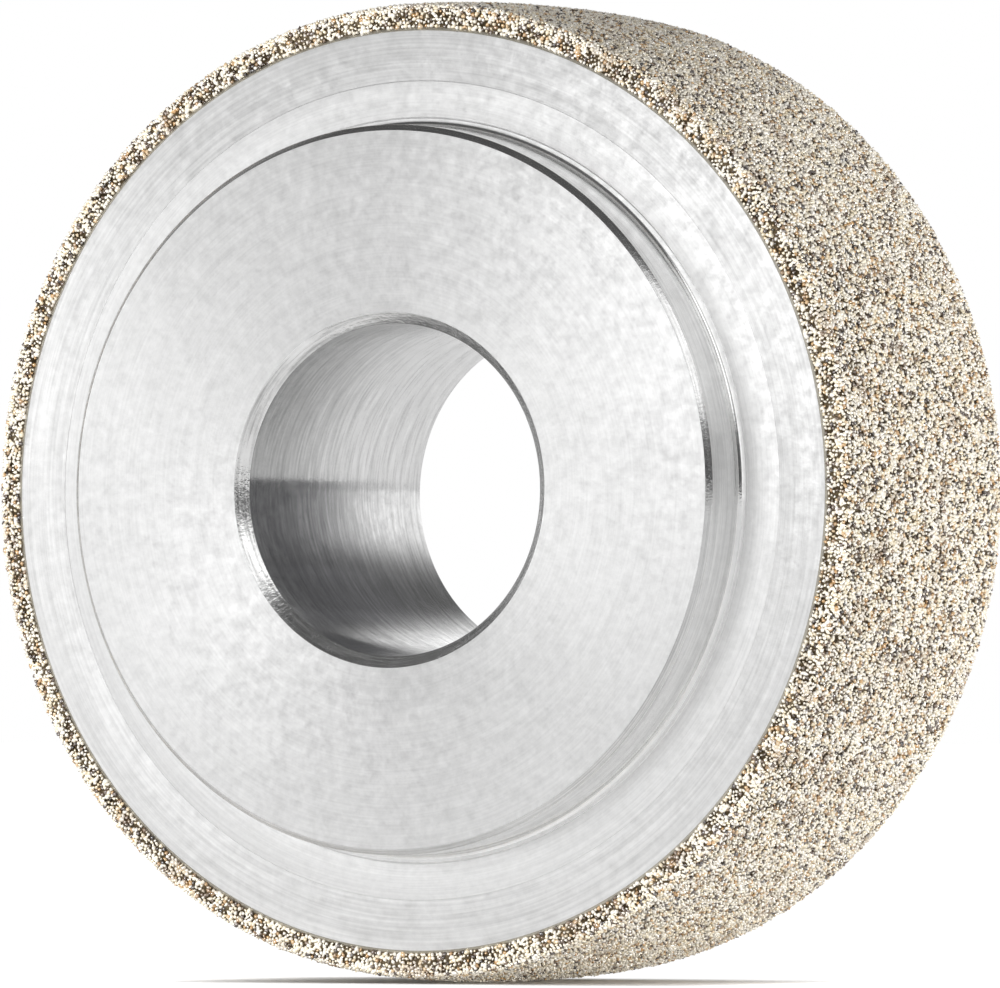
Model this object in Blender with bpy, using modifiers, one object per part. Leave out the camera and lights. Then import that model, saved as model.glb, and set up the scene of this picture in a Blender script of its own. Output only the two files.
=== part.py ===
"""An electroplated diamond grinding wheel, 60 mm across its crowned rim.

The wheel has three layers. A turned aluminium core carries the bore and a raised clamping
boss. A nickel bond is plated over the core's rim and round both its corners. One layer of
diamond grit stands in the bond.

The wheel's axis is Y, its boss faces -Y and the origin is the middle of its overall box.
"""

from math import atan2, cos, pi, radians, sin, sqrt

import bpy

# Driving dimensions, in metres.
WHEEL_DIAMETER = 0.060  # over the grit, at the top of the crown
RIM_WIDTH = 0.0210  # over the grit
CROWN_RADIUS = 0.150  # the rim bulges by this radius, seen in section
FRONT_CORNER = 0.0006  # radius of the grit's front corner
REAR_CORNER = 0.0013  # radius of the grit's rear corner

BORE_DIAMETER = 0.0202
BORE_CHAMFER = 0.0007  # 45 degrees, at both ends of the bore

BOSS_DIAMETER = 0.0443
BOSS_HEIGHT = 0.00365  # above the front ring
BOSS_CHAMFER = 0.00035  # 45 degrees
BOSS_FILLET = 0.0004  # where the boss meets the front ring
RING_DIAMETER = 0.056  # outside of the bare metal ring

REAR_RECESS_DIAMETER = 0.045  # takes the boss of a wheel stacked behind this one
REAR_RECESS_DEPTH = 0.00175
REAR_RECESS_CHAMFER = 0.0003

GRIT_THICKNESS = 0.00030
BOND_THICKNESS = 0.00025
GRIT_PROUD = 0.00015  # the grit stands this far above the bare metal rings
GAP = 0.0003  # clearance between layers, and beside the core's shoulders

TURN_STEPS = 96
CORNER_STEPS = 3
CROWN_STEPS = 6
SHARP_ANGLE = radians(30)

# Heights along the axis. The boss faces up while the parts are turned.
OVERALL_WIDTH = BOSS_HEIGHT - GRIT_PROUD + RIM_WIDTH
BOSS_TOP = OVERALL_WIDTH / 2
RING_TOP = BOSS_TOP - BOSS_HEIGHT
GRIT_TOP = RING_TOP + GRIT_PROUD
GRIT_BOTTOM = -OVERALL_WIDTH / 2
RING_BOTTOM = GRIT_BOTTOM + GRIT_PROUD
HUB_BOTTOM = RING_BOTTOM + REAR_RECESS_DEPTH

COATING_INNER = RING_DIAMETER / 2 + GAP
BOND_DEPTH = GRIT_THICKNESS + GAP
CORE_DEPTH = BOND_DEPTH + BOND_THICKNESS + GAP
SMALLEST_CORNER = 0.0002


def arc(centre, radius, start, end, steps):
    """Points (radius, height) along an arc, both ends included."""
    turns = [start + (end - start) * i / steps for i in range(steps + 1)]
    return [(centre[0] + radius * cos(a), centre[1] + radius * sin(a)) for a in turns]


def rim_outline(depth):
    """The rim's section from its front corner to its rear one, at a depth under the grit."""
    middle = (GRIT_TOP + GRIT_BOTTOM) / 2
    crown_centre = (WHEEL_DIAMETER / 2 - CROWN_RADIUS, middle)
    crown_radius = CROWN_RADIUS - depth

    def corner(corner_radius, face, outwards):
        radius = max(corner_radius - depth, SMALLEST_CORNER)
        height = face - outwards * (depth + radius)
        reach = crown_radius - radius
        centre = (crown_centre[0] + sqrt(reach**2 - (height - middle) ** 2), height)
        lean = atan2(centre[1] - middle, centre[0] - crown_centre[0])
        return centre, radius, lean

    front, front_radius, front_lean = corner(FRONT_CORNER, GRIT_TOP, 1)
    rear, rear_radius, rear_lean = corner(REAR_CORNER, GRIT_BOTTOM, -1)
    crown = arc(crown_centre, crown_radius, front_lean, rear_lean, CROWN_STEPS)
    return (
        arc(front, front_radius, pi / 2, front_lean, CORNER_STEPS)
        + crown[1:-1]
        + arc(rear, rear_radius, rear_lean, -pi / 2, CORNER_STEPS)
    )


def core_outline():
    """The core's closed section, down its outer side and back up the bore."""
    bore = BORE_DIAMETER / 2
    boss = BOSS_DIAMETER / 2
    ring = RING_DIAMETER / 2
    recess = REAR_RECESS_DIAMETER / 2
    shoulder_top = GRIT_TOP - CORE_DEPTH
    shoulder_bottom = GRIT_BOTTOM + CORE_DEPTH
    fillet_centre = (boss + BOSS_FILLET, RING_TOP + BOSS_FILLET)
    front = [
        (bore + BORE_CHAMFER, BOSS_TOP),
        (boss - BOSS_CHAMFER, BOSS_TOP),
        (boss, BOSS_TOP - BOSS_CHAMFER),
        *arc(fillet_centre, BOSS_FILLET, pi, 1.5 * pi, CORNER_STEPS),
        (ring, RING_TOP),
        (ring, shoulder_top),
    ]
    rear = [
        (ring, shoulder_bottom),
        (ring, RING_BOTTOM),
        (recess + REAR_RECESS_CHAMFER, RING_BOTTOM),
        (recess, RING_BOTTOM + REAR_RECESS_CHAMFER),
        (recess, HUB_BOTTOM),
        (bore + BORE_CHAMFER, HUB_BOTTOM),
        (bore, HUB_BOTTOM + BORE_CHAMFER),
        (bore, BOSS_TOP - BORE_CHAMFER),
    ]
    return front + rim_outline(CORE_DEPTH) + rear


def coating_outline(depth):
    """A plated layer's outer surface: front ring, rim and rear ring."""
    rim = rim_outline(depth)
    return [(COATING_INNER, rim[0][1]), *rim, (COATING_INNER, rim[-1][1])]


def material(name, colour, metallic, roughness):
    made = bpy.data.materials.new(name)
    made.use_nodes = True
    shader = made.node_tree.nodes["Principled BSDF"]
    shader.inputs["Base Color"].default_value = (*colour, 1.0)
    shader.inputs["Metallic"].default_value = metallic
    shader.inputs["Roughness"].default_value = roughness
    return made


def turn(name, outline, closed, collection, axle, finish, thickness=0.0):
    """Turn a section about the axle. An open one becomes a layer of the given thickness."""
    points = [(radius, 0.0, height) for radius, height in outline]
    edges = [(i, i + 1) for i in range(len(points) - 1)]
    if closed:
        edges.append((len(points) - 1, 0))
    section = bpy.data.meshes.new(name + "_section")
    section.from_pydata(points, edges, [])
    part = bpy.data.objects.new(name, section)
    collection.objects.link(part)

    screw = part.modifiers.new("turn", "SCREW")
    screw.axis = "Z"
    screw.steps = TURN_STEPS
    screw.render_steps = TURN_STEPS
    screw.use_merge_vertices = True
    screw.merge_threshold = 0.00001
    if thickness:
        layer = part.modifiers.new("layer", "SOLIDIFY")
        layer.thickness = thickness
        layer.offset = -1.0
        layer.use_even_offset = True

    evaluated = part.evaluated_get(bpy.context.evaluated_depsgraph_get())
    mesh = bpy.data.meshes.new_from_object(evaluated)
    part.modifiers.clear()
    part.data = mesh
    bpy.data.meshes.remove(section)
    mesh.name = name
    mesh.materials.append(finish)
    mesh.shade_smooth()
    mesh.set_sharp_from_angle(angle=SHARP_ANGLE)
    part.parent = axle
    return part


def build():
    for old in list(bpy.data.objects):
        bpy.data.objects.remove(old)
    collection = bpy.data.collections.new("diamond_grinding_wheel")
    bpy.context.scene.collection.children.link(collection)

    axle = bpy.data.objects.new("axle", None)
    axle.empty_display_size = WHEEL_DIAMETER / 2
    axle.rotation_euler = (pi / 2, 0.0, 0.0)  # turns +Z to -Y
    collection.objects.link(axle)

    aluminium = material("turned_aluminium", (0.80, 0.80, 0.80), 1.0, 0.32)
    nickel = material("nickel_plate", (0.52, 0.48, 0.42), 1.0, 0.40)
    diamond = material("diamond_grit", (0.60, 0.55, 0.45), 0.0, 0.45)

    turn("wheel_core", core_outline(), True, collection, axle, aluminium)
    bond = coating_outline(BOND_DEPTH)
    turn("nickel_bond", bond, False, collection, axle, nickel, BOND_THICKNESS)
    grit = coating_outline(0.0)
    turn("diamond_grit", grit, False, collection, axle, diamond, GRIT_THICKNESS)


build()
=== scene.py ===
from math import atan2, cos, hypot, pi, radians, sin, sqrt, tan

import bmesh
import bpy
import numpy as np
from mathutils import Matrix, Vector
from mathutils.kdtree import KDTree


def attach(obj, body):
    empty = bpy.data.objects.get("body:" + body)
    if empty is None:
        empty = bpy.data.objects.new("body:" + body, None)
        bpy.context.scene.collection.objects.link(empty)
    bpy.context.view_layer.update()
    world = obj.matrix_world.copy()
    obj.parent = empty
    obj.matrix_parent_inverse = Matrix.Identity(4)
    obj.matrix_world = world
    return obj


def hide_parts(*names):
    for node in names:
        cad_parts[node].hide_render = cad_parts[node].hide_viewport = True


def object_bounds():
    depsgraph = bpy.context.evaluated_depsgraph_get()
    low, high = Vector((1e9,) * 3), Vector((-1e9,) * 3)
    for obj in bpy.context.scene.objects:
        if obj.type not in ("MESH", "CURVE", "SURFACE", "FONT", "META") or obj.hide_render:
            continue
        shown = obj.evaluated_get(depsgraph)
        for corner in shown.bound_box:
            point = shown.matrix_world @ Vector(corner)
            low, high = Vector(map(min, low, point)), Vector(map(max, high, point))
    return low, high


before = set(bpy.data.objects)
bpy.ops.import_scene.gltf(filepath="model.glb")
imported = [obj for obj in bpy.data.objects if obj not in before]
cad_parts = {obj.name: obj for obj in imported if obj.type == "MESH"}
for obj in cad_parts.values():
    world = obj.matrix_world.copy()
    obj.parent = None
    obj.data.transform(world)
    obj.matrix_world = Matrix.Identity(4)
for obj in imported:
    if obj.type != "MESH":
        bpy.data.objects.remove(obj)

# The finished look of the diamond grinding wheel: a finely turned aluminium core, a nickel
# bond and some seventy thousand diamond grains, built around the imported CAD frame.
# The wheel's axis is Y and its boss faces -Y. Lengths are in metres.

MM = 0.001
cad_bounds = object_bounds()


# --- Sizes read from the frame -----------------------------------------------------------


def section(node):
    """The radius and the y of each vertex of a turned CAD node."""
    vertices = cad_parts[node].data.vertices
    flat = np.empty(len(vertices) * 3)
    vertices.foreach_get("co", flat)
    x, y, z = flat.reshape(-1, 3).T
    return np.hypot(x, z), y


NEAR = 0.01 * MM  # closer than this counts as the same size
core_r, core_y = section("wheel_core")
grit_r, grit_y = section("diamond_grit")

BORE_RADIUS = core_r.min()
BOSS_FACE = core_y.min()
on_boss = abs(core_y - BOSS_FACE) < NEAR
BORE_MOUTH = core_r[on_boss].min()
BOSS_FLAT = core_r[on_boss].max()
RING_FACE = core_y[core_r > BOSS_FLAT + 1.5 * MM].min()
on_ring = abs(core_y - RING_FACE) < NEAR
RING_OUTER = core_r[on_ring].max()
on_wall = (core_y > BOSS_FACE + NEAR) & (core_y < RING_FACE - NEAR) & (core_r > BOSS_FLAT)
BOSS_RADIUS = core_r[on_wall].min()
REAR_RING = core_y.max()
on_rear_ring = abs(core_y - REAR_RING) < NEAR
RECESS_MOUTH = core_r[on_rear_ring].min()
on_hub = (core_r < RECESS_MOUTH - NEAR) & (core_y < REAR_RING - 1 * MM)
HUB_FACE = core_y[on_hub].max()
RECESS_RADIUS = core_r[abs(core_y - HUB_FACE) < NEAR].max()

WHEEL_RADIUS = grit_r.max()
GRIT_FRONT = grit_y.min()
GRIT_REAR = grit_y.max()
GRIT_MIDDLE = (GRIT_FRONT + GRIT_REAR) / 2

# Finer sizes than the CAD holds.
CROWN_RADIUS = 150 * MM
FRONT_CORNER = 0.6 * MM
REAR_CORNER = 1.3 * MM
SMALLEST_CORNER = 0.15 * MM  # of the layers under the grit
FOOT_HOLLOW = 0.42 * MM  # the rounding between the boss and the front ring
TOOL_LINE = 24.9 * MM  # where the two cuts that made the front ring meet
BOND_LEVEL = 0.19 * MM  # the bond's surface, under the tips of the grit
BOND_FLOOR = 0.60 * MM
GRAIN_SIZE = 0.30 * MM
GRAIN_PITCH = 0.265 * MM
COAT_INNER = RING_OUTER + 0.15 * MM  # the first row of grit
TURN_STEPS = 512
SHARP_ANGLE = radians(20)
SMALL_ROUNDING = 0.3 * MM  # wider roundings are drawn three times as finely

SECTORS = 8  # pieces that the grit is made in
CRYSTAL_SHAPES = 24
CRYSTAL_CORNERS = 9
SEED = 20


# --- Mesh helpers ------------------------------------------------------------------------


def mesh_object(name, points, faces, smooth):
    """A mesh object from an array of points and an array of equal-sided faces."""
    mesh = bpy.data.meshes.new(name)
    sides = faces.shape[1]
    mesh.vertices.add(len(points))
    mesh.vertices.foreach_set("co", points.astype(np.float32).ravel())
    mesh.loops.add(faces.size)
    mesh.loops.foreach_set("vertex_index", faces.astype(np.int32).ravel())
    mesh.polygons.add(len(faces))
    mesh.polygons.foreach_set("loop_start", np.arange(len(faces), dtype=np.int32) * sides)
    mesh.update(calc_edges=True)
    mesh.validate()
    mesh.polygons.foreach_set("use_smooth", np.full(len(faces), smooth))
    made = bpy.data.objects.new(name, mesh)
    bpy.context.scene.collection.objects.link(made)
    return made


def arc(centre, radius, start, end, steps):
    """Points (radius, y) along an arc, both ends included."""
    turns = np.linspace(start, end, steps + 1)
    return [(centre[0] + radius * cos(a), centre[1] + radius * sin(a)) for a in turns]


def rounded(corners, steps=3):
    """An outline whose corners, given as (radius, y, rounding), are rounded by arcs."""
    outline = []
    for i, (r, y, rounding) in enumerate(corners):
        here = np.array((r, y))
        before = np.array(corners[i - 1][:2]) - here
        after = np.array(corners[(i + 1) % len(corners)][:2]) - here
        if rounding == 0:
            outline.append((r, y))
            continue
        before /= hypot(*before)
        after /= hypot(*after)
        half = np.arccos(np.clip(before @ after, -1, 1)) / 2
        bisector = (before + after) / hypot(*(before + after))
        centre = here + bisector * rounding / sin(half)
        start = here + before * rounding / tan(half) - centre
        end = here + after * rounding / tan(half) - centre
        first = atan2(start[1], start[0])
        sweep = (atan2(end[1], end[0]) - first + pi) % (2 * pi) - pi
        count = steps if rounding < SMALL_ROUNDING else 3 * steps
        outline += arc(centre, rounding, first, first + sweep, count)
    return outline


def turned(name, outline, steps=TURN_STEPS):
    """A piece made by turning a closed outline of (radius, y) about the Y axis."""
    outline = np.array(outline)
    count = len(outline)
    turn = np.arange(steps) * 2 * pi / steps
    r, y = outline[:, 0], outline[:, 1]
    points = np.stack(
        (
            np.outer(np.cos(turn), r),
            np.broadcast_to(y, (steps, count)),
            np.outer(np.sin(turn), r),
        ),
        axis=-1,
    ).reshape(-1, 3)
    i, j = np.meshgrid(np.arange(steps), np.arange(count), indexing="ij")
    ahead_i, ahead_j = (i + 1) % steps, (j + 1) % count
    faces = np.stack(
        (i * count + j, i * count + ahead_j, ahead_i * count + ahead_j, ahead_i * count + j),
        axis=-1,
    ).reshape(-1, 4)
    enclosed = np.sum(r * np.roll(y, -1) - np.roll(r, -1) * y)
    if enclosed > 0:
        faces = faces[:, ::-1]
    made = mesh_object(name, points, faces, True)
    made.data.set_sharp_from_angle(angle=SHARP_ANGLE)
    return made


def coat_outline(depth, corner_steps=8, crown_steps=40):
    """The coating's section at a depth under the tips of the grit, front to rear."""
    crown_centre = (WHEEL_RADIUS - CROWN_RADIUS, GRIT_MIDDLE)
    crown_radius = CROWN_RADIUS - depth

    def corner(rounding, face, inwards):
        radius = max(rounding - depth, SMALLEST_CORNER)
        y = face + inwards * (depth + radius)
        reach = crown_radius - radius
        centre = (crown_centre[0] + sqrt(reach**2 - (y - GRIT_MIDDLE) ** 2), y)
        lean = atan2(y - GRIT_MIDDLE, centre[0] - crown_centre[0])
        return centre, radius, lean

    front, front_radius, front_lean = corner(FRONT_CORNER, GRIT_FRONT, 1)
    rear, rear_radius, rear_lean = corner(REAR_CORNER, GRIT_REAR, -1)
    return (
        arc(front, front_radius, -pi / 2, front_lean, corner_steps)
        + arc(crown_centre, crown_radius, front_lean, rear_lean, crown_steps)[1:-1]
        + arc(rear, rear_radius, rear_lean, pi / 2, corner_steps)
    )


# --- The turned core ---------------------------------------------------------------------

EDGE = 0.05 * MM  # how much the sharpest turned edges are broken
GROOVE = 0.05 * MM  # depth of the fine groove beside the boss
HUB_CORNER = 0.35 * MM  # the rounding in the rear recess
SEAT_OVERLAP = 0.1 * MM  # how far the core reaches into the bond


def core_outline():
    """The core's closed section, from the bore's front edge outwards and back."""
    chamfer_end = BOSS_FACE + BOSS_RADIUS - BOSS_FLAT
    bore_chamfer = BORE_MOUTH - BORE_RADIUS
    seat = BOND_FLOOR - SEAT_OVERLAP
    foot = BOSS_RADIUS + FOOT_HOLLOW
    step = RING_FACE + 0.2 * GROOVE  # the ring's inner cut is this much lower
    front = [
        (BORE_RADIUS, BOSS_FACE + bore_chamfer, EDGE),
        (BORE_MOUTH, BOSS_FACE, EDGE),
        (BOSS_FLAT, BOSS_FACE, EDGE),
        (BOSS_RADIUS, chamfer_end, EDGE),
        (BOSS_RADIUS, RING_FACE, FOOT_HOLLOW),
        (foot + GROOVE, RING_FACE, 0),
        (foot + 2 * GROOVE, RING_FACE + GROOVE, 0.3 * GROOVE),
        (foot + 3 * GROOVE, step, 0.3 * GROOVE),
        (TOOL_LINE - GROOVE, step, 0),
        (TOOL_LINE, RING_FACE + 0.5 * GROOVE, 0),
        (TOOL_LINE + 0.6 * GROOVE, RING_FACE, 0),
        (RING_OUTER, RING_FACE, EDGE),
        (RING_OUTER, GRIT_FRONT + seat, 0),
    ]
    under_coat = [(r, y, 0) for r, y in coat_outline(seat, 4, 12)]
    rear = [
        (RING_OUTER, GRIT_REAR - seat, 0),
        (RING_OUTER, REAR_RING, EDGE),
        (RECESS_MOUTH, REAR_RING, EDGE),
        (RECESS_RADIUS, REAR_RING - (RECESS_MOUTH - RECESS_RADIUS), EDGE),
        (RECESS_RADIUS, HUB_FACE, HUB_CORNER),
        (BORE_MOUTH, HUB_FACE, EDGE),
        (BORE_RADIUS, HUB_FACE - bore_chamfer, EDGE),
    ]
    return rounded(front + under_coat + rear)


# --- The bond and the grit ---------------------------------------------------------------


def bond_outline():
    """The bond's section: a thin lip over the bare ring's edge, its skin and its floor."""
    lip = 0.03 * MM
    outside = coat_outline(BOND_LEVEL)
    inside = coat_outline(BOND_FLOOR, 4, 12)
    front = [(RING_OUTER - lip, RING_FACE + lip), (RING_OUTER + lip, RING_FACE - lip)]
    rear = [(RING_OUTER + lip, REAR_RING + lip), (RING_OUTER - lip, REAR_RING - lip)]
    return (
        front
        + [(COAT_INNER, GRIT_FRONT + BOND_LEVEL)]
        + outside
        + [(COAT_INNER, GRIT_REAR - BOND_LEVEL)]
        + rear
        + [(RING_OUTER - lip, GRIT_REAR - BOND_FLOOR)]
        + inside[::-1]
        + [(RING_OUTER - lip, GRIT_FRONT + BOND_FLOOR)]
    )


def crystal_shapes(random, count=CRYSTAL_SHAPES, corners=CRYSTAL_CORNERS):
    """Angular crystals of about unit size: hulls of points spread unevenly over a ball."""
    golden = pi * (3 - sqrt(5))
    step = np.arange(corners) + 0.5
    z = 1 - 2 * step / corners
    ball = np.stack((np.cos(step * golden), np.sin(step * golden), z), axis=1)
    ball[:, :2] *= np.sqrt(1 - z * z)[:, None]
    shapes = []
    for _ in range(count):
        moved = ball + random.uniform(-0.45, 0.45, ball.shape)
        moved /= np.linalg.norm(moved, axis=1, keepdims=True)
        shapes.append(hull(moved * random.uniform(0.42, 0.58, (corners, 1))))
    return shapes


def hull(points):
    """The points and the outward triangles of a convex hull."""
    solid = bmesh.new()
    for p in points:
        solid.verts.new(p)
    made = bmesh.ops.convex_hull(solid, input=solid.verts)
    loose = [g for g in made["geom_interior"] if isinstance(g, bmesh.types.BMVert)]
    for vertex in loose:
        solid.verts.remove(vertex)
    bmesh.ops.triangulate(solid, faces=solid.faces)
    bmesh.ops.recalc_face_normals(solid, faces=solid.faces)
    solid.verts.index_update()
    co = np.array([v.co for v in solid.verts])
    faces = np.array([[v.index for v in f.verts] for f in solid.faces])
    solid.free()
    return co, faces


def grain_places(random):
    """Where the grains stand: (radius, y, angle, lean) for each, evenly but loosely spread."""
    outline = [(COAT_INNER, GRIT_FRONT)] + coat_outline(0, 12, 80) + [(COAT_INNER, GRIT_REAR)]
    outline = np.array(outline)
    step = np.hypot(*np.diff(outline, axis=0).T)
    along = np.concatenate(([0], np.cumsum(step)))
    margin = 0.35 * GRAIN_PITCH
    rows = np.arange(margin, along[-1] - margin, GRAIN_PITCH * sqrt(3) / 2)
    travel, angle = [], []
    for row in rows:
        radius = np.interp(row, along, outline[:, 0])
        count = int(round(2 * pi * radius / GRAIN_PITCH))
        jitter = random.uniform(-0.45, 0.45, (2, count))
        angle.append((np.arange(count) + random.uniform() + jitter[0]) * 2 * pi / count)
        travel.append(row + jitter[1] * GRAIN_PITCH)
    travel = np.clip(np.concatenate(travel), margin, along[-1] - margin)
    angle = np.concatenate(angle)
    travel, angle = relaxed(travel, angle, along, outline, margin)
    radius = np.interp(travel, along, outline[:, 0])
    y = np.interp(travel, along, outline[:, 1])
    reach = 0.1 * MM
    ahead = np.stack([np.interp(travel + reach, along, outline[:, k]) for k in (0, 1)])
    behind = np.stack([np.interp(travel - reach, along, outline[:, k]) for k in (0, 1)])
    run = ahead - behind
    lean = np.arctan2(-run[0], run[1])  # of the outward normal, from radial towards +y
    return radius, y, angle % (2 * pi), lean


def relaxed(travel, angle, along, outline, margin, rounds=2):
    """Pushes crowded grains apart."""
    room = 0.95 * GRAIN_PITCH
    for _ in range(rounds):
        radius = np.interp(travel, along, outline[:, 0])
        y = np.interp(travel, along, outline[:, 1])
        places = np.stack((radius * np.cos(angle), y, radius * np.sin(angle)), axis=1)
        tree = KDTree(len(places))
        for i, place in enumerate(places):
            tree.insert(place, i)
        tree.balance()
        push = np.zeros((2, len(places)))
        for i, place in enumerate(places):
            for _, j, distance in tree.find_range(place, room):
                if j == i or distance == 0:
                    continue
                force = 0.35 * (room - distance) / distance
                turn = (angle[i] - angle[j] + pi) % (2 * pi) - pi
                push[0, i] += force * (travel[i] - travel[j])
                push[1, i] += force * turn
        travel = np.clip(travel + push[0], margin, along[-1] - margin)
        angle = angle + push[1]
    return travel, angle


def turns(random, count):
    """Uniformly random rotation matrices."""
    q = random.normal(size=(count, 4))
    q /= np.linalg.norm(q, axis=1, keepdims=True)
    w, x, y, z = q.T
    rows = (
        (1 - 2 * (y * y + z * z), 2 * (x * y - z * w), 2 * (x * z + y * w)),
        (2 * (x * y + z * w), 1 - 2 * (x * x + z * z), 2 * (y * z - x * w)),
        (2 * (x * z - y * w), 2 * (y * z + x * w), 1 - 2 * (x * x + y * y)),
    )
    return np.moveaxis(np.array(rows), -1, 0)


def grains(name, radius, y, angle, lean, shapes, random):
    """One piece of grit: a crystal at each place, half sunk in the bond.

    Each crystal has a random tint in the "grain" attribute and a cell of its own in the UV map.
    """
    count = len(radius)
    flat = np.cos(lean)
    outward = np.stack((flat * np.cos(angle), np.sin(lean), flat * np.sin(angle)), 1)
    tip = np.stack((radius * np.cos(angle), y, radius * np.sin(angle)), 1)
    size = GRAIN_SIZE * np.clip(random.normal(1.0, 0.24, count), 0.5, 1.6)
    stretch = random.uniform(0.75, 1.25, (count, 3))
    rotation = turns(random, count)
    kind = random.integers(len(shapes), size=count)
    depth = 0.5 * size + random.uniform(0.0, 0.09, count) * MM - 0.03 * MM
    centre = tip - outward * depth[:, None]
    tint = random.uniform(size=(count, 3))
    across = int(np.ceil(sqrt(count)))  # grains along a side of the atlas
    points, faces, tints, cells, start = [], [], [], [], 0
    for k, (corners, triangles) in enumerate(shapes):
        mine = np.flatnonzero(kind == k)
        local = corners[None] * (size[mine, None, None] * stretch[mine, None, :])
        placed = np.einsum("nij,nkj->nki", rotation[mine], local) + centre[mine, None, :]
        points.append(placed.reshape(-1, 3))
        offsets = start + np.arange(len(mine)) * len(corners)
        faces.append((triangles[None] + offsets[:, None, None]).reshape(-1, 3))
        tints.append(np.repeat(tint[mine], len(corners), axis=0))
        cell = np.stack((mine % across, mine // across), axis=1)[:, None, :]
        inside = corners[None, :, :2] * 0.7 + 0.5
        cells.append(((cell + inside) / across).reshape(-1, 2))
        start += len(mine) * len(corners)
    faces = np.concatenate(faces)
    made = mesh_object(name, np.concatenate(points), faces, True)
    atlas = made.data.uv_layers.new(name="OFBake")
    atlas.data.foreach_set("uv", np.concatenate(cells)[faces.ravel()].astype(np.float32).ravel())
    colour = np.ones((start, 4), np.float32)
    colour[:, :3] = np.concatenate(tints)
    layer = made.data.attributes.new("grain", "FLOAT_COLOR", "POINT")
    layer.data.foreach_set("color", colour.ravel())
    return made


# --- Materials ---------------------------------------------------------------------------

BARE_NICKEL = (0.56, 0.53, 0.46, 1.0)
GRIME = (0.34, 0.23, 0.14, 1.0)
CRYSTAL_CLOUD = (0.42, 0.33, 0.19, 1.0)
DIAMOND_IOR = 2.4


class Nodes:
    """A short way to write a node tree: add gives the new node, the other calls its output."""

    def __init__(self, tree):
        self.tree = tree
        tree.nodes.clear()

    def add(self, kind, *values, **settings):
        node = self.tree.nodes.new("ShaderNode" + kind)
        named = settings.pop("named", {})
        for key, value in settings.items():
            setattr(node, key, value)
        for key, value in [*enumerate(values), *named.items()]:
            if isinstance(value, bpy.types.NodeSocket):
                self.tree.links.new(value, node.inputs[key])
            elif value is not None:
                node.inputs[key].default_value = value
        return node

    def math(self, operation, *values):
        return self.add("Math", *values, operation=operation).outputs[0]

    def vector(self, operation, *values):
        node = self.add("VectorMath", *values, operation=operation)
        scalar = operation in ("LENGTH", "DOT_PRODUCT")
        return node.outputs["Value" if scalar else "Vector"]

    def noise(self, vector, scale, detail=2.0, roughness=0.5):
        named = {"Vector": vector, "Scale": scale, "Detail": detail, "Roughness": roughness}
        return self.add("TexNoise", named=named).outputs["Fac"]

    def spread(self, value, low, high, to_low=0.0, to_high=1.0, smooth=False):
        """The value's range low to high, stretched to another range."""
        kind = "SMOOTHSTEP" if smooth else "LINEAR"
        node = self.add("MapRange", value, low, high, to_low, to_high, interpolation_type=kind)
        return node.outputs["Result"]

    def mix(self, factor, first, second):
        node = self.add("Mix", data_type="RGBA", blend_type="MIX")
        for key, value in ((0, factor), (6, first), (7, second)):
            if isinstance(value, bpy.types.NodeSocket):
                self.tree.links.new(value, node.inputs[key])
            else:
                node.inputs[key].default_value = value
        return node.outputs[2]

    def ramp(self, value, stops):
        node = self.add("ValToRGB", value)
        marks = node.color_ramp.elements
        while len(marks) < len(stops):
            marks.new(0.5)
        for mark, (place, colour) in zip(marks, stops):
            mark.position = place
            mark.color = (*colour, 1.0)
        return node.outputs["Color"]


def new_material(name):
    """An empty material and the writer of its node tree."""
    material = bpy.data.materials.new(name)
    material.use_nodes = True
    return material, Nodes(material.node_tree)


def around(nodes):
    """(place, unit vector out from the axis, radius, y) of the shaded point."""
    place = nodes.add("TexCoord").outputs["Object"]
    flat = nodes.vector("MULTIPLY", place, (1.0, 0.0, 1.0))
    out = nodes.vector("NORMALIZE", flat)
    y = nodes.add("SeparateXYZ", place).outputs["Y"]
    return place, out, nodes.vector("LENGTH", flat), y


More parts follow.
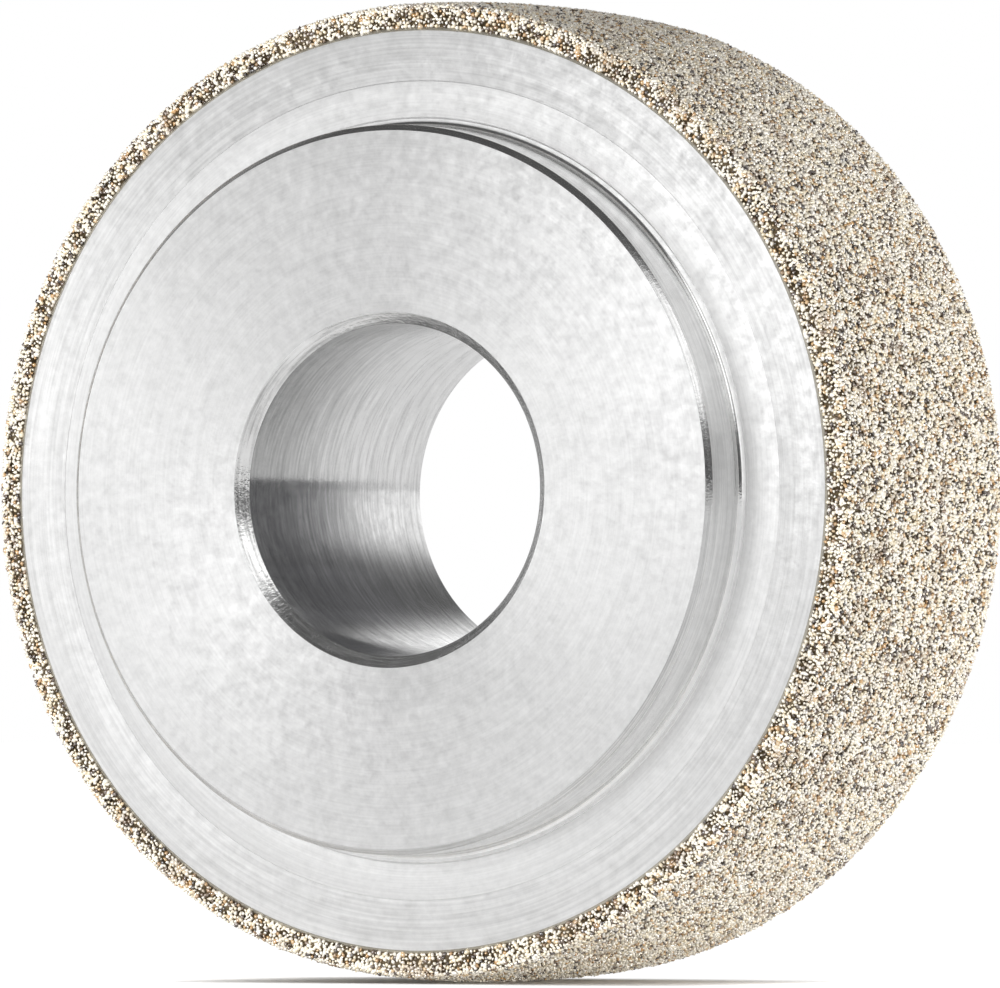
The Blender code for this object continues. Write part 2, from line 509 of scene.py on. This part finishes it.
def turned_aluminium(
    name,
    across_radius,
    across_y,
    roughness,
    pitch,
    groove,
    tone,
    marks,
    front_tone=1.0,
    pull=0.80,
):
    """Aluminium with the fine circles that turning leaves.

    across_radius and across_y weigh the radius and y in the coordinate that counts the
    circles, pitch is their spacing and groove their height. marks says how strongly the
    circles show in the tone, front_tone how much darker it is painted at the front of the
    wheel, a painted shade for the dimmer light the bore mirrors there, and pull how much
    the circles draw its highlights out.
    """
    material, nodes = new_material(name)
    place, out, radius, y = around(nodes)
    direction = nodes.add("SeparateXYZ", out)

    def circles(spacing, breaks):
        """Noise drawn out round the axis, so that it makes broken circles."""
        vector = nodes.add(
            "CombineXYZ",
            nodes.math("MULTIPLY", direction.outputs["X"], breaks),
            nodes.math("MULTIPLY", direction.outputs["Z"], breaks),
            nodes.math("DIVIDE", count, spacing),
        ).outputs[0]
        return nodes.noise(vector, 1.0)

    def weighed(first, first_weight, second, second_weight):
        return nodes.math(
            "ADD",
            nodes.math("MULTIPLY", first, first_weight),
            nodes.math("MULTIPLY", second, second_weight),
        )

    count = weighed(radius, across_radius, y, across_y)
    fine = circles(pitch, 3.0)
    coarse = circles(pitch * 6, 1.5)
    scuffs = circles(pitch * 2, 60.0)
    mottle = nodes.noise(place, 1300.0, 4.0, 0.75)
    cloud = nodes.noise(place, 600.0, 4.0, 0.75)
    specks = nodes.noise(place, 5200.0, 2.0, 0.6)
    height = nodes.math(
        "ADD", weighed(fine, 1.0, coarse, 0.5), weighed(mottle, 3.5, specks, 0.4)
    )
    bump = nodes.add("Bump", named={"Height": height, "Distance": groove, "Strength": 1.0})
    lines = weighed(fine, 0.8, coarse, 0.2)
    wear = weighed(mottle, 0.6, scuffs, 0.4)
    shade = nodes.math(
        "MULTIPLY",
        nodes.spread(lines, 0.3, 0.7, tone * (1 - marks), tone * (1 + 0.3 * marks)),
        nodes.spread(wear, 0.3, 0.7, 0.93, 1.06),
    )
    # painted shade: the colour darkens towards the front of the wheel, for the dimmer light the
    # bore mirrors there
    if front_tone < 1.0:
        near, far = BOSS_FACE + 2 * MM, BOSS_FACE + 15 * MM
        painted_front_shade = nodes.spread(y, near, far, front_tone, 1.0, smooth=True)
        shade = nodes.math("MULTIPLY", shade, painted_front_shade)
    colour = nodes.add("CombineColor", shade, shade, nodes.math("MULTIPLY", shade, 0.997))
    patches = weighed(mottle, 0.6, cloud, 0.4)
    rough = nodes.spread(patches, 0.36, 0.64, roughness * 1.30, roughness * 0.76)
    normal = nodes.add("NewGeometry").outputs["Normal"]
    along = nodes.vector("CROSS_PRODUCT", (0.0, 1.0, 0.0), out)
    tangent = nodes.vector("CROSS_PRODUCT", normal, along)
    shader = nodes.add(
        "BsdfPrincipled",
        named={
            "Base Color": colour.outputs[0],
            "Metallic": 1.0,
            "Roughness": rough,
            "Anisotropic": pull,
            "Tangent": tangent,
            "Normal": bump.outputs[0],
        },
    )
    nodes.add("OutputMaterial", shader.outputs[0])
    return material


def nickel():
    """Dull plate, painted dark brown between the grains as the painted shade of the crevices,
    and bare at its lip.
    """
    material, nodes = new_material("nickel_plate")
    place = nodes.add("TexCoord").outputs["Object"]
    lumps = nodes.noise(place, 3500.0, 3.0, 0.6)
    shade_mottle = nodes.noise(place, 900.0, 3.0, 0.6)
    radius = around(nodes)[2]
    # painted shade: the bond between the grains is coloured near black, for the shade in the
    # crevices
    painted_gap_shade = nodes.ramp(
        shade_mottle,
        [
            (0.3, (0.04, 0.028, 0.015)),
            (0.5, (0.11, 0.08, 0.045)),
            (0.7, (0.25, 0.20, 0.13)),
        ],
    )
    edge = 0.05 * MM
    lip = nodes.spread(radius, COAT_INNER - edge, COAT_INNER + edge, 1.0, 0.0)
    colour = nodes.mix(lip, painted_gap_shade, BARE_NICKEL)
    bump = nodes.add("Bump", named={"Height": lumps, "Distance": 0.04 * MM, "Strength": 1.0})
    shader = nodes.add(
        "BsdfPrincipled",
        named={
            "Base Color": colour,
            "Metallic": 1.0,
            "Roughness": nodes.spread(lumps, 0.3, 0.7, 0.35, 0.6),
            "Normal": bump.outputs[0],
        },
    )
    nodes.add("OutputMaterial", shader.outputs[0])
    return material


def diamond():
    """Yellowish and clear crystals, each with a tint of its own, clouded inside."""
    material, nodes = new_material("diamond_crystals")
    place = nodes.add("TexCoord").outputs["Object"]
    tint = nodes.add("Attribute", attribute_name="grain").outputs["Color"]
    channel = nodes.add("SeparateColor", tint)
    kind = channel.outputs[0]
    cloud = nodes.noise(place, 5200.0, 2.0, 0.6)
    body = nodes.ramp(
        kind,
        [
            (0.00, (0.03, 0.025, 0.03)),
            (0.11, (0.13, 0.08, 0.05)),
            (0.17, (0.60, 0.34, 0.12)),
            (0.25, (0.86, 0.74, 0.52)),
            (0.45, (0.97, 0.90, 0.75)),
            (1.00, (0.97, 0.93, 0.86)),
        ],
    )
    patch = nodes.noise(place, 420.0, 3.0, 0.65)
    stained = nodes.mix(nodes.spread(patch, 0.54, 0.76, 0.0, 0.70), body, GRIME)
    inside = nodes.mix(nodes.spread(cloud, 0.50, 0.80, 0.0, 0.3), stained, CRYSTAL_CLOUD)
    rough = nodes.spread(channel.outputs[1], 0.0, 1.0, 0.05, 0.40)
    bump = nodes.add("Bump", named={"Height": cloud, "Distance": 0.012 * MM, "Strength": 1.0})
    shader = nodes.add(
        "BsdfPrincipled",
        named={
            "Base Color": inside,
            "Metallic": 0.0,
            "Roughness": rough,
            "IOR": DIAMOND_IOR,
            "Normal": bump.outputs[0],
        },
    )
    nodes.add("OutputMaterial", shader.outputs[0])
    return material


# --- Pieces ------------------------------------------------------------------------------

FACE, RING, STEP, WALL, CHAMFER, BORE, BORE_CHAMFER = range(7)
TRACE = 0.02 * MM  # how far a face's middle may stray from its surface


def zone(radius, y):
    """Which cut of the lathe made a face of the core, from the radius and y of its middle."""
    if radius < BORE_RADIUS + TRACE:
        return BORE
    if radius < BORE_MOUTH:
        return BORE_CHAMFER
    if y < RING_FACE - TRACE:
        if radius < BOSS_FLAT:
            return FACE
        return CHAMFER if y < BOSS_FACE + BOSS_RADIUS - BOSS_FLAT else WALL
    if y < 0:
        return STEP if radius < TOOL_LINE else RING
    return RING if radius > RECESS_MOUTH else FACE


# One for each zone, in its order: name, across_radius, across_y, roughness, pitch, groove,
# tone and marks, then front_tone and pull where they differ.
FINISHES = [
    ("turned_boss_face", 1, 0, 0.40, 0.13 * MM, 0.002 * MM, 0.85, 0.07),
    ("turned_ring", 1, 0, 0.40, 0.17 * MM, 0.003 * MM, 0.91, 0.17),
    ("turned_step", 1, 0, 0.38, 0.13 * MM, 0.002 * MM, 0.88, 0.10, 1.0, 0.40),
    ("turned_boss_wall", 0.5, 1, 0.15, 0.22 * MM, 0.002 * MM, 0.93, 0.22),
    # the boss chamfer's low tone paints the dark line along the boss's edge: painted shade
    ("turned_boss_chamfer", 1, 1, 0.20, 0.10 * MM, 0.004 * MM, 0.74, 0.30),
    # the bore's front_tone of 0.54 is a painted shade at its front
    ("turned_bore", 0, 1, 0.17, 0.26 * MM, 0.0011 * MM, 0.90, 0.30, 0.54),
    ("turned_bore_chamfer", -1, 1, 0.22, 0.22 * MM, 0.012 * MM, 0.93, 0.45),
]


def core():
    """The turned core, each of its cuts with a finish of its own."""
    piece = turned("turned_core", core_outline())
    for finish in FINISHES:
        piece.data.materials.append(turned_aluminium(*finish))
    polygons = piece.data.polygons
    centres = np.empty(len(polygons) * 3)
    polygons.foreach_get("center", centres)
    x, y, z = centres.reshape(-1, 3).T
    slots = [zone(r, h) for r, h in zip(np.hypot(x, z), y)]
    polygons.foreach_set("material_index", np.array(slots, dtype=np.int32))
    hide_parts("wheel_core")
    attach(piece, "root")


def bond():
    piece = turned("bond_plating", bond_outline())
    piece.data.materials.append(nickel())
    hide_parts("nickel_bond")
    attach(piece, "root")


def grit():
    """The grit in sectors. Gives the collection that the lamps light."""
    random = np.random.default_rng(SEED)
    shapes = crystal_shapes(random)
    radius, y, angle, lean = grain_places(random)
    finish = diamond()
    lit = bpy.data.collections.new("grit_pieces")
    for k in range(SECTORS):
        mine = (angle * SECTORS / (2 * pi)).astype(int) % SECTORS == k
        piece = grains(
            f"grit_sector_{k + 1}", radius[mine], y[mine], angle[mine], lean[mine], shapes, random
        )
        piece.data.materials.append(finish)
        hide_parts("diamond_grit")
        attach(piece, "root")
        lit.objects.link(piece)
    return lit


# --- Stage, light and camera -------------------------------------------------------------

VIEW_AZIMUTH = radians(29.01)
VIEW_ELEVATION = radians(-0.75)
VIEW_DISTANCE = 0.9966
AIM_RIGHT = 6.76 * MM  # of the middle of the boss face, as the camera sees it
AIM_UP = -0.26 * MM
LENS = 592.0  # in millimetres, as is the sensor's width
SENSOR = 36.0

# The room's own light, at the horizon and overhead, and its windows.
ROOM_LOW = 0.08
ROOM_HIGH = 0.10
WINDOWS = [
    # azimuth (0 at -Y, 90 at +X), elevation, half width, half height and soft edge, all in
    # degrees, and strength
    (-46, 3, 43, 19, 10, 0.98),
    (-74, 8, 9, 9, 4, 2.60),
    (2, 17, 24, 25, 8, 1.14),
    (118, 16, 34, 18, 8, 0.75),
    (57, 32, 14, 16, 6, 1.60),
    (172, 6, 30, 12, 6, 0.85),
    (210, 16, 16, 16, 8, 1.10),
    (-118, 26, 22, 16, 10, 0.25),
]


def window(nodes, direction, azimuth, elevation, half_width, half_height, edge, strength):
    """Light from a soft-edged window in the sky; its angles are in degrees."""
    a, e = radians(azimuth), radians(elevation)
    ahead = (sin(a) * cos(e), -cos(a) * cos(e), sin(e))
    right = (cos(a), sin(a), 0.0)
    up = (-sin(a) * sin(e), cos(a) * sin(e), cos(e))
    depth = nodes.vector("DOT_PRODUCT", direction, ahead)
    light = strength
    for axis, half in ((right, half_width), (up, half_height)):
        off = nodes.math("ARCTAN2", nodes.vector("DOT_PRODUCT", direction, axis), depth)
        degrees = nodes.math("MULTIPLY", nodes.math("ABSOLUTE", off), 180 / pi)
        shown = nodes.spread(degrees, half + edge, half - edge, 0.0, 1.0, smooth=True)
        light = nodes.math("MULTIPLY", shown, light)
    return light


def studio():
    """A white backdrop for the camera, and for the wheel a dim room with soft windows."""
    world = bpy.data.worlds.new("studio")
    world.use_nodes = True
    bpy.context.scene.world = world
    nodes = Nodes(world.node_tree)
    direction = nodes.add("TexCoord").outputs["Generated"]
    height = nodes.add("SeparateXYZ", direction).outputs["Z"]
    light = nodes.spread(height, 0.0, 0.9, ROOM_LOW, ROOM_HIGH)
    for shape in WINDOWS:
        light = nodes.math("ADD", light, window(nodes, direction, *shape))
    room = nodes.add("Background", nodes.add("CombineColor", light, light, light).outputs[0], 1.0)
    backdrop = nodes.add("Background", (1.0, 1.0, 1.0, 1.0), 1.0)
    seen = nodes.add("LightPath").outputs["Is Camera Ray"]
    chosen = nodes.add("MixShader", seen, room.outputs[0], backdrop.outputs[0])
    nodes.add("OutputWorld", chosen.outputs[0])


LAMP_DISTANCE = 0.40
LAMPS = [
    # name, azimuth and elevation in degrees, size in metres, power in watts
    ("front_lamp", -20, 0, 0.12, 1.45),
    ("side_lamp", 98, -15, 0.05, 1.22),
    ("top_lamp", 70, 62, 0.03, 0.11),
]

SHEET_HALF = 6.0  # half the sheet's side
SHEET_SEEN = 0.80  # the sheet's glow for the camera
SHEET_REFLECTED = 0.45  # its glow in mirrored light


def floor():
    """A pale sheet under the wheel, wide enough to meet the horizon."""
    height = cad_bounds[0].z
    corners = np.array([(x, y, height) for x, y in ((-1, -1), (1, -1), (1, 1), (-1, 1))])
    corners[:, :2] *= SHEET_HALF
    sheet = mesh_object("floor", corners, np.array([[0, 1, 2, 3]]), False)
    material, nodes = new_material("pale_sheet")
    place = nodes.add("TexCoord").outputs["Object"]
    fibre = nodes.noise(place, 400.0, 3.0, 0.6)
    tone = nodes.spread(fibre, 0.3, 0.7, 0.86, 0.90)
    colour = nodes.add("CombineColor", tone, tone, tone).outputs[0]
    sheet_shader = nodes.add("BsdfDiffuse", colour)
    path = nodes.add("LightPath")
    glow = nodes.math(
        "ADD",
        nodes.math("MULTIPLY", path.outputs["Is Camera Ray"], SHEET_SEEN),
        nodes.math("MULTIPLY", path.outputs["Is Glossy Ray"], SHEET_REFLECTED),
    )
    # painted shadow: the sheet's glow fades where the wheel closes it in, a contact shadow under
    # the wheel
    open_sky = nodes.add("AmbientOcclusion", named={"Distance": 6 * MM}, samples=8).outputs["AO"]
    glow = nodes.math("MULTIPLY", glow, nodes.math("POWER", open_sky, 2.0))
    lift = nodes.add("Emission", (1.0, 1.0, 1.0, 1.0), glow)
    shader = nodes.add("AddShader", sheet_shader.outputs[0], lift.outputs[0])
    nodes.add("OutputMaterial", shader.outputs[0])
    material.cycles.emission_sampling = "NONE"
    sheet.data.materials.append(material)


CARD_DISTANCE = 110 * MM  # behind the boss face
CARD_DEPTH = 14.7 * MM  # the card's near edge is mirrored in the bore at this depth
CARD_WIDTH = 120 * MM


def dark_card():
    """A grey card behind the wheel, cut round so that the low half of the bore mirrors it."""
    a, e = VIEW_AZIMUTH, VIEW_ELEVATION
    view = Vector((-sin(a) * cos(e), cos(a) * cos(e), -sin(e)))
    rim = []
    for turn in np.radians(np.linspace(4, -52, 24)):
        wall = Vector((-cos(turn), 0.0, sin(turn)))
        mirrored = view - 2 * view.dot(wall) * wall
        run = mirrored / mirrored.y
        for reach in (CARD_DISTANCE - CARD_DEPTH, CARD_DISTANCE - CARD_DEPTH + CARD_WIDTH):
            hit = wall * BORE_RADIUS + run * reach
            rim.append((hit.x, BOSS_FACE + CARD_DISTANCE, hit.z))
    first = 2 * np.arange(len(rim) // 2 - 1)
    faces = np.stack((first, first + 1, first + 3, first + 2), axis=1)
    card = mesh_object("dark_card", np.array(rim), faces, False)
    material, nodes = new_material("grey_card")
    place = nodes.add("TexCoord").outputs["Object"]
    tone = nodes.spread(nodes.noise(place, 60.0, 2.0), 0.3, 0.7, 0.10, 0.20)
    shade = nodes.add("CombineColor", tone, tone, nodes.math("MULTIPLY", tone, 1.05)).outputs[0]
    nodes.add("OutputMaterial", nodes.add("Emission", shade, 1.0).outputs[0])
    material.cycles.emission_sampling = "NONE"
    card.data.materials.append(material)
    card.visible_camera = False
    card.visible_diffuse = False
    card.visible_shadow = False


def lamps(lit):
    """Soft lamps that light only the grit, and pass through all else, the sheet too."""
    for name, azimuth, elevation, size, power in LAMPS:
        data = bpy.data.lights.new(name, "AREA")
        data.shape = "DISK"
        data.size = size
        data.energy = power
        made = bpy.data.objects.new(name, data)
        bpy.context.scene.collection.objects.link(made)
        a, e = radians(azimuth), radians(elevation)
        away = Vector((sin(a) * cos(e), -cos(a) * cos(e), sin(e)))
        made.location = away * LAMP_DISTANCE
        made.rotation_euler = away.to_track_quat("Z", "Y").to_euler()
        made.light_linking.receiver_collection = lit
        made.light_linking.blocker_collection = lit


def camera():
    data = bpy.data.cameras.new("camera")
    data.lens = LENS
    data.sensor_width = SENSOR
    data.clip_start = 0.1
    data.clip_end = 20.0
    made = bpy.data.objects.new("camera", data)
    bpy.context.scene.collection.objects.link(made)
    a, e = VIEW_AZIMUTH, VIEW_ELEVATION
    back = Vector((sin(a) * cos(e), -cos(a) * cos(e), sin(e)))
    right = Vector((cos(a), sin(a), 0.0))
    up = back.cross(right)
    aim = Vector((0.0, BOSS_FACE, 0.0)) + right * AIM_RIGHT + up * AIM_UP
    made.location = aim + back * VIEW_DISTANCE
    made.rotation_euler = back.to_track_quat("Z", "Y").to_euler()
    bpy.context.scene.camera = made


core()
bond()
lamps(grit())
floor()
dark_card()
studio()
camera()
bpy.context.scene.view_settings.view_transform = "Standard"
